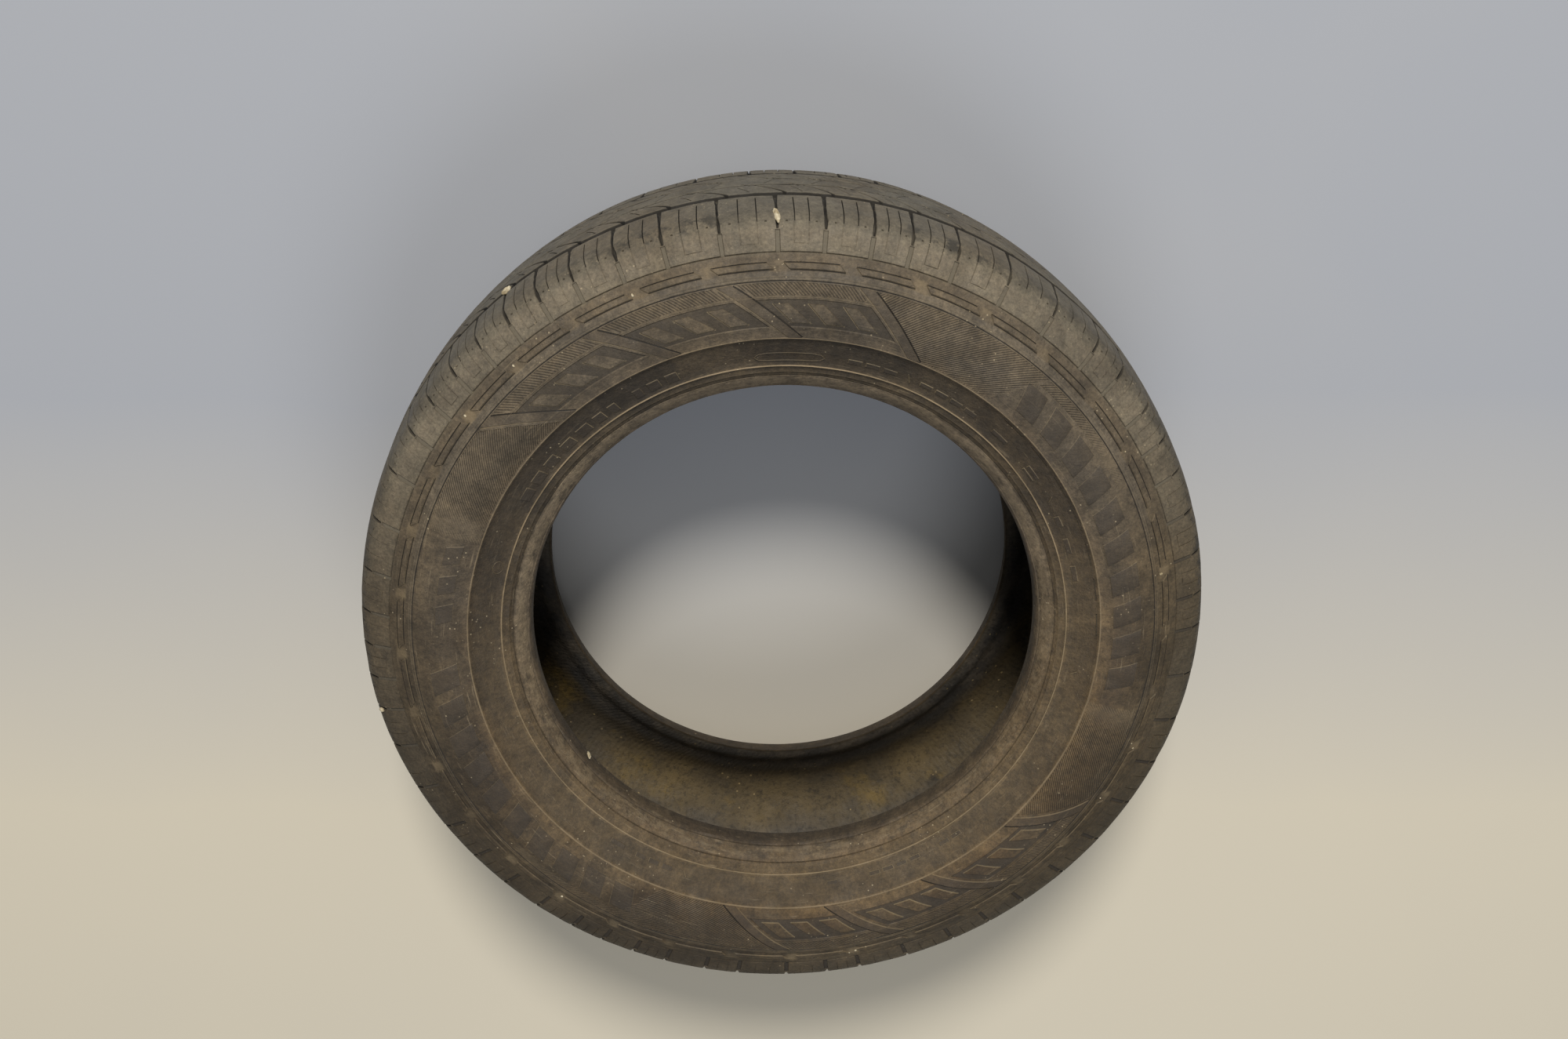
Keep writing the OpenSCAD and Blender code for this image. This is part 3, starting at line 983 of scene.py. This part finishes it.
# Bands across the rubber, in m from the middle of the tread: where each starts, is full, is
# still full and is gone. A fade has only its two ends.
bands = {
    "slotEnds": (0.076, 0.084, 0.095, 0.101), "dashGaps": (0.1248, 0.1262, 0.1335, 0.1352),
    "wallRing": (0.1842, 0.1848, 0.1854, 0.186), "marking": (0.184, 0.188, 0.221, 0.224),
    "lowRing": (0.212, 0.2125, 0.2133, 0.2138), "rimSeat": (0.224, 0.227, 0.234, 0.239),
}
fades = {
    "tread": (0.085, 0.08), "groove": (0.089, 0.083), "shoulder": (0.082, 0.088),
    "channels": (0.101, 0.104), "wall": (0.118, 0.124), "roughWall": (0.118, 0.126),
    "blocks": (0.14, 0.141), "lowWall": (0.188, 0.178), "letters": (0.186, 0.188), "bead": (0.216, 0.222),
}
# Light and dark mottling: scale, detail, roughness and squash of the noise, then the place and
# tone of its dark end and of its pale end
mottles = {
    "spokes": ((1, 5, 0.6, (120, 120, 26)), (0.3, 0.34), (0.7, (0.66, 0.65, 0.63))),
    "broad": ((38, 6, 0.72), (0.32, 0.28), (0.68, (0.7, 0.69, 0.66))),
    "coarse": ((130, 5, 0.75), (0.32, 0.3), (0.68, (0.7, 0.69, 0.67))),
    "grain": ((430, 5, 0.75), (0.3, 0.24), (0.72, (0.74, 0.73, 0.7))),
}


def rubberPlaces(m):
    # where a point lies on the tyre, and what the mesh has stored there; across is in m here
    at = SimpleNamespace(here=m.add("ShaderNodeTexCoord").outputs["Object"], wrap=m.stored("wrap", "Vector"))
    for name in ("cut", "proud", "line", "separator", "hatch", "moat", "sunk", "inside"):
        setattr(at, name, m.stored(name))
    at.round = m.add("ShaderNodeSeparateXYZ", Vector=at.wrap).outputs
    at.across = m.math("ABSOLUTE", at.round["Z"])
    at.place = m.add("ShaderNodeSeparateXYZ", Vector=at.here).outputs
    at.turn = m.math("ARCTAN2", at.place["X"], at.place["Y"])
    # mud lies thickest on the side away from +Y; the same blend paints shade on that side and light on the
    # side towards +Y, where the key lamp stands
    muddy = m.math("ADD", m.times(at.round["X"], 0.5), m.times(at.round["Y"], -3.3))
    at.muddy = m.math("ADD", muddy, m.wander(at.here, 6, 4, 1.6))
    return at


def groundColour(m, at):
    zone = m.spread(m.math("ADD", at.across, m.wander(at.here, 55, 4, 0.006)), 0, faceEnd * mm)
    top, foot = (m.ramp(zone, [(z[0] / faceEnd, rgb(*z[i])) for z in rubberZones]) for i in (1, 2))
    # the marking band turns brown sooner than the rest
    banded = m.times(m.within(at.across, *bands["marking"]), 0.25)
    colour = m.mix(m.spread(m.math("ADD", at.muddy, banded), -0.6, 0.5), top, foot)
    # painted shade, darkest on the wall towards -X and -Y
    leftward = m.math("ADD", m.times(at.round["X"], 0.8), m.times(at.round["Y"], 0.6))
    soil = m.times(m.spread(leftward, -0.12, -0.26), m.spread(at.across, *fades["lowWall"], 0.12, 0.46))
    return m.layUp(colour, rubberCoats, soil=soil)


def weathered(m, at, colour):
    # brown dust, bare places where it is rubbed off, and mottling of every size
    colour = m.layUp(
        colour, rubberCoats,
        dust=m.blotch(at.here, (8, 6, 0.62), 0.46, 0.68),
        bare=m.blotch(at.here, (17, 6, 0.68), 0.5, 0.68),
    )
    colour = m.mottle(colour, 0.3, at.wrap, mottles["spokes"])
    rough = m.spread(at.across, *fades["roughWall"], 0.42, 0.78)
    colour = m.mottle(colour, rough, at.here, mottles["broad"])
    colour = m.mottle(colour, rough, at.here, mottles["coarse"])
    colour = m.mottle(colour, 0.75, at.here, mottles["grain"])
    onWall = m.spread(at.across, *fades["wall"])
    scrape = m.times(onWall, m.blotch(at.wrap, (1, 4, 0.7, (30, 30, 430)), 0.6, 0.7))
    # painted shade of the rough, ragged rubber where the shoulder slots end; chafed by the rim on the bead
    torn = m.times(m.within(at.across, *bands["slotEnds"]),
                   m.blotch(at.here, (75, 5, 0.7), 0.48, 0.58),
                   m.blotch(at.here, (7, 3), 0.44, 0.6, 0.15, 0.85))
    chafed = m.times(m.within(at.across, *bands["rimSeat"]),
                     m.blotch(at.wrap, (1, 5, 0.7, (70, 70, 190)), 0.49, 0.57),
                     m.spread(at.muddy, -0.6, 0.5, 0.45, 0.24))
    onBead = m.spread(at.across, *fades["bead"])
    smeared = m.times(onBead, m.blotch(at.wrap, (1, 5, 0.72, (45, 45, 130)), 0.55, 0.63))
    return m.layUp(colour, rubberCoats, scrape=scrape, torn=torn, chafed=chafed, smeared=smeared)


def grimed(m, at, colour):
    # narrow cuts are painted near black, partly grime and partly painted shade in the recess, and wide ones
    # silted up
    onTread = m.spread(at.across, *fades["tread"])
    onShoulder = m.spread(at.across, *fades["shoulder"])
    colour = m.layUp(
        colour, rubberCoats,
        # the hatch valleys are painted dark as painted shade; the crests carry pale dust
        hatchFloor=m.spread(at.hatch, 0.4, 0.95),
        hatchCrest=m.within(at.hatch, 0.02, 0.1, 0.15, 0.4),
        separator=m.spread(at.separator, 0.1, 0.45),
        # the narrow grooves beside raised marks are painted near black, as painted shade at their feet
        moat=m.spread(at.moat, 0.03, 0.22),
        cut=m.spread(at.cut, 0.4, 1.1),
        cutEdge=m.times(m.within(at.cut, 0.02, 0.12, 0.3, 0.6), onTread),
        ribCut=m.times(m.spread(at.cut, 0.12, 0.7), onTread),
    )
    silt = m.mix(m.blotch(at.here, (42, 4), 0.42, 0.62), rgb(34, 31, 26), rgb(70, 64, 52))
    silted = m.times(m.spread(at.cut, 3.2, 3.8), m.spread(at.across, *fades["groove"]), 0.85)
    colour = m.mix(silted, colour, silt)
    slotDust = m.times(m.spread(at.cut, 0.8, 2.4), onShoulder, m.blotch(at.here, (13, 3), 0.5, 0.6))
    slot = m.times(m.spread(at.cut, 1.6, 2.8), onShoulder)
    colour = m.layUp(colour, rubberCoats, slot=slot, slotDust=slotDust)
    # the shallow channels below the slots follow the same blend: pale near +Y and dark away from it
    channel = m.times(m.within(at.cut, 0.8, 1.0, 1.2, 1.5), m.spread(at.across, *fades["channels"]), 0.8)
    return m.mix(channel, colour, m.mix(m.spread(at.muddy, -0.4, 0.5), rgb(102, 94, 79), rgb(48, 41, 32)))


def packedDust(m, at):
    # between the dashes of the shoulder ring
    fromGap = m.math("SUBTRACT", m.times(at.turn, 180 / math.pi), wall["firstGap"])
    loose = m.times(m.noise(at.here, 90, 4, 0.65), 1.6)
    fromGap = m.math("ADD", m.math("PINGPONG", fromGap, 180 / wall["dashes"]), loose)
    return m.times(m.spread(fromGap, 2.0, 1.3), m.within(at.across, *bands["dashGaps"]),
                   m.blotch(at.here, (32, 4), 0.4, 0.62, 0.05, 0.55))


def worn(m, at, colour):
    # what stands proud is rubbed dark; its walls, the raised lines and the rings are painted pale as painted
    # highlight, patchy with wear; dust and specks lie over everything
    block = m.times(m.spread(at.proud, 0.7, 0.98), m.spread(at.across, *fades["blocks"]))
    wear = m.blotch(at.here, (30, 5, 0.65), 0.4, 0.62, 0.15, 1.0)
    rim = m.times(m.within(at.proud, 0.08, 0.4, 0.7, 0.98), wear,
                  m.spread(at.across, *fades["letters"], 0.42, 0.85))
    line = m.times(m.spread(at.line, 0.12, 0.8), m.spread(wear, 0.15, 1.0, 0.5, 0.85))
    lowRing = m.times(m.within(at.across, *bands["lowRing"]), 0.62)
    wallRing = m.times(m.within(at.across, *bands["wallRing"]), 0.4)
    rings = m.times(m.math("MAXIMUM", lowRing, wallRing),
                    m.blotch(at.here, (26, 4, 0.7), 0.36, 0.62, 0.25, 1.0))
    specks = m.times(m.spread(m.spots(at.here, 190.0), 0.14, 0.09), m.blotch(at.here, (24, 4), 0.53, 0.62))
    return m.layUp(colour, rubberCoats, pocket=m.spread(at.sunk, 0.3, 0.75), block=block, rim=rim, line=line,
                   rings=rings, packed=packedDust(m, at), specks=specks)


def linerColour(m, at):
    # olive brown and stained, sooty along the lower bead, and painted dark under the upper bead as painted
    # shade
    up = at.place["Z"]
    colour = m.mix(m.blotch(at.here, (9, 6, 0.62), 0.4, 0.66), rgb(66, 58, 45), rgb(98, 83, 55))
    yellow = m.blotch(at.here, (13, 5, 0.6), 0.55, 0.7)
    grime = m.blotch(at.here, (60, 5, 0.7), 0.6, 0.75)
    colour = m.layUp(colour, linerCoats, yellow=yellow, grime=grime)
    beadward = m.math("ADD", m.math("ABSOLUTE", up), m.wander(at.here, 20, 4, 0.02))
    soot = m.mix(m.blotch(at.here, (34, 6, 0.7), 0.45, 0.62), rgb(66, 63, 59), rgb(92, 84, 73))
    sooty = m.times(m.spread(up, -0.055, -0.075), m.spread(beadward, 0.104, 0.092))
    colour = m.mix(sooty, colour, soot)
    streaks = m.blotch(at.here, (1, 5, 0.7, (230, 230, 32)), 0.5, 0.64)
    dots = m.times(m.spread(m.spots(at.here, 105.0), 0.13, 0.08), m.blotch(at.here, (11, 3), 0.46, 0.6))
    # the liner just under the upper bead is painted near black, as painted shade under the bead
    return m.layUp(colour, linerCoats, upper=m.spread(up, 0.05, 0.068), streaks=streaks, dots=dots)


def rubberBump(m, at):
    # the height, strength and size in m of each kind of roughness
    lines = m.math("ADD", m.times(at.turn, 340.0), m.times(at.place["Z"], 700.0))
    lines = m.math("SINE", m.math("ADD", lines, m.times(m.noise(at.here, 14, 4), 16.0)))
    cells = m.add("ShaderNodeTexVoronoi", {"feature": "DISTANCE_TO_EDGE"}, Vector=at.wrap, Scale=120.0)
    heights = (
        (m.noise(at.here, 150, 6, 0.68), 0.6, 0.0018),
        (m.noise(at.here, 800, 3, 0.7), 0.5, 0.0006),
        (m.noise(at.wrap, 1, 4, 0.65, (45, 45, 900)), 0.25, 0.0008),     # scuffs
        (m.spread(cells.outputs[0], 0.0, 0.06), 0.15, 0.0004),     # cracks
        (m.times(lines, at.inside), 0.15, 0.0004),     # slanted lines that the bladder leaves
    )
    normal = None
    for height, strength, size in heights:
        normal = m.bump(height, strength, size, normal)
    return normal


def rubberMaterial():
    m = Nodes("worn rubber")
    at = rubberPlaces(m)
    colour = groundColour(m, at)
    for step in (weathered, grimed, worn):
        colour = step(m, at, colour)
    m.feed(m.shader.inputs["Base Color"], m.mix(at.inside, colour, linerColour(m, at)))
    dull = m.times(m.spread(at.cut, 0.2, 1.0), 0.12)
    sheen = m.math("ADD", m.blotch(at.here, (60, 4), 0.3, 0.7, 0.56, 0.8), dull, True)
    m.feed(m.shader.inputs["Roughness"], sheen)
    m.shader.inputs["Specular IOR Level"].default_value = 0.4
    m.feed(m.shader.inputs["Normal"], rubberBump(m, at))
    return m.material


tyre.data.materials.append(rubberMaterial())
print("rubber finished")

# Dried grit: pale stones caught in the slots and a groove, and crumbs of mud in slots and gaps
grit = {
    # angle, across, height and half size in mm
    "stones": ((-1.7, 90.0, -1.0, (2.6, 8.0, 2.2)), (233.0, 249.5, -0.4, (2.6, 4.0, 1.6))),
    "pebbles": ((321.0, 40.0, -0.6, (4.6, 2.4, 2.4)), (258.3, 96.0, 0.3, (1.7, 2.9, 1.6))),
    "crumbs": 22,
    "size": (0.4, 1.0),
    "inSlots": (52, 101),      # mm across that the crumbs keep to
    "inGaps": (126.5, 133.5),
    "seed": 5,
}


def faceFrame(angle, across, height):
    p = [Vector(placed(np.array([angle + da]), np.array([across + dv]), np.array([height]))[0])
         for da, dv in ((0, 0), (0.2, 0), (0, 1.0))]
    along, down = (p[1] - p[0]).normalized(), (p[2] - p[0]).normalized()
    return p[0], along, down, down.cross(along).normalized()


def addLump(bm, chance, angle, across, height, sizes):
    middle, along, down, out = faceFrame(angle, across, height)
    turned = Matrix.Rotation(chance.uniform(-0.6, 0.6), 3, out)
    offset = Vector((chance.uniform(0, 50), 0, 0))
    made = bmesh.ops.create_icosphere(bm, subdivisions=3, radius=1)
    for v in made["verts"]:
        way = v.co.normalized()
        swell = 1 + 0.3 * noise.noise(way * 1.7 + offset) + 0.12 * noise.noise(way * 5 + offset)
        flat = turned @ (along * way.x * sizes[0] + down * way.y * sizes[1] + out * way.z * sizes[2])
        v.co = middle + flat * swell * mm


def gritMaterial():
    m = Nodes("dried grit")
    here = m.add("ShaderNodeTexCoord").outputs["Object"]
    colour = m.mix(m.blotch(here, (260, 4), 0.35, 0.7), rgb(146, 130, 100), rgb(206, 196, 170))
    m.feed(m.shader.inputs["Base Color"], colour)
    m.shader.inputs["Roughness"].default_value = 0.9
    m.feed(m.shader.inputs["Normal"], m.bump(m.noise(here, 900, 4, 0.7), 0.6, 0.0004))
    return m.material


def buildGrit():
    chance = random.Random(grit["seed"])
    bm = bmesh.new()
    for stone in grit["stones"]:
        addLump(bm, chance, *stone)
    slots = [a for a, pitch in pitchAngles()]
    for k in range(grit["crumbs"]):
        size = chance.uniform(*grit["size"])
        if k % 2:
            where = chance.choice(slots) + chance.uniform(-0.25, 0.25)
            across = chance.uniform(*grit["inSlots"])
            addLump(bm, chance, where, across, -3.2, (size, size * chance.uniform(1, 1.8), size * 0.8))
        else:
            where = wall["firstGap"] + 360 / wall["dashes"] * chance.randrange(wall["dashes"])
            where += chance.uniform(-0.6, 0.6)
            across = chance.uniform(*grit["inGaps"])
            addLump(bm, chance, where, across, 0.05, (size, size * chance.uniform(0.8, 1.5), size * 0.45))
    for pebble in grit["pebbles"]:
        addLump(bm, chance, *pebble)
    mesh = bpy.data.meshes.new("driedGrit")
    bm.to_mesh(mesh)
    bm.free()
    mesh.shade_smooth()
    piece = bpy.data.objects.new("dried_grit", mesh)
    piece.data.materials.append(gritMaterial())
    bpy.context.scene.collection.objects.link(piece)
    return piece


driedGrit = buildGrit()
print("grit laid")

# The plain studio: pale floor that turns greyer and darker towards +Y, partly a cooler backdrop tone and
# partly painted shade, one big soft lamp beyond the tyre, even light around
studio = {
    "floorSize": 60.0,
    "floorNear": (198, 190, 172), "floorFar": (157, 160, 167), "floorFade": (-0.3, 0.14),
    "world": (0.87, 0.90, 0.94), "worldStrength": 0.27, "backdrop": 0.42,
    "key": {"at": (-0.2, 4.6, 4.3), "size": 1.4, "power": 410, "colour": (1.0, 0.965, 0.9)},
    "fill": {"at": (0.5, -1.7, 2.9), "size": 1.8, "power": 34, "colour": (0.95, 0.97, 1.0)},
}


def buildStudio():
    half = studio["floorSize"] / 2
    mesh = bpy.data.meshes.new("floor")
    corners = [(x, y, floorLevel) for x, y in ((-half, -half), (half, -half), (half, half), (-half, half))]
    mesh.from_pydata(corners, [], [(0, 1, 2, 3)])
    floor = bpy.data.objects.new("floor", mesh)
    bpy.context.scene.collection.objects.link(floor)
    m = Nodes("floor paint")
    here = m.add("ShaderNodeTexCoord").outputs["Object"]
    away = m.spread(m.add("ShaderNodeSeparateXYZ", Vector=here).outputs["Y"], *studio["floorFade"])
    away = m.math("ADD", away, m.wander(here, 1.7, 3, 0.3), True)
    m.feed(m.shader.inputs["Base Color"], m.mix(away, rgb(*studio["floorNear"]), rgb(*studio["floorFar"])))
    m.shader.inputs["Roughness"].default_value = 0.75
    mesh.materials.append(m.material)
    world = bpy.data.worlds.new("studio")
    world.use_nodes = True
    light = world.node_tree.nodes["Background"]
    light.inputs["Color"].default_value = (*studio["world"], 1)
    # what the camera sees of the surroundings is paler than the light they give
    seen = world.node_tree.nodes.new("ShaderNodeLightPath").outputs["Is Camera Ray"]
    strength = world.node_tree.nodes.new("ShaderNodeMapRange")
    world.node_tree.links.new(seen, strength.inputs["Value"])
    strength.inputs["To Min"].default_value = studio["worldStrength"]
    strength.inputs["To Max"].default_value = studio["worldStrength"] + studio["backdrop"]
    world.node_tree.links.new(strength.outputs["Result"], light.inputs["Strength"])
    bpy.context.scene.world = world
    for name in ("key", "fill"):
        lamp = studio[name]
        data = bpy.data.lights.new(name, "AREA")
        data.shape = "DISK"
        data.size = lamp["size"]
        data.energy = lamp["power"]
        data.color = lamp["colour"]
        made = bpy.data.objects.new(name, data)
        made.location = lamp["at"]
        made.rotation_euler = (-Vector(lamp["at"])).to_track_quat("-Z", "Y").to_euler()
        bpy.context.scene.collection.objects.link(made)
    return floor


floor = buildStudio()
bpy.context.scene.view_settings.view_transform = "Standard"
print("studio lit")

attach(tyre, "root")
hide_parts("tyre")
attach(driedGrit, "root")
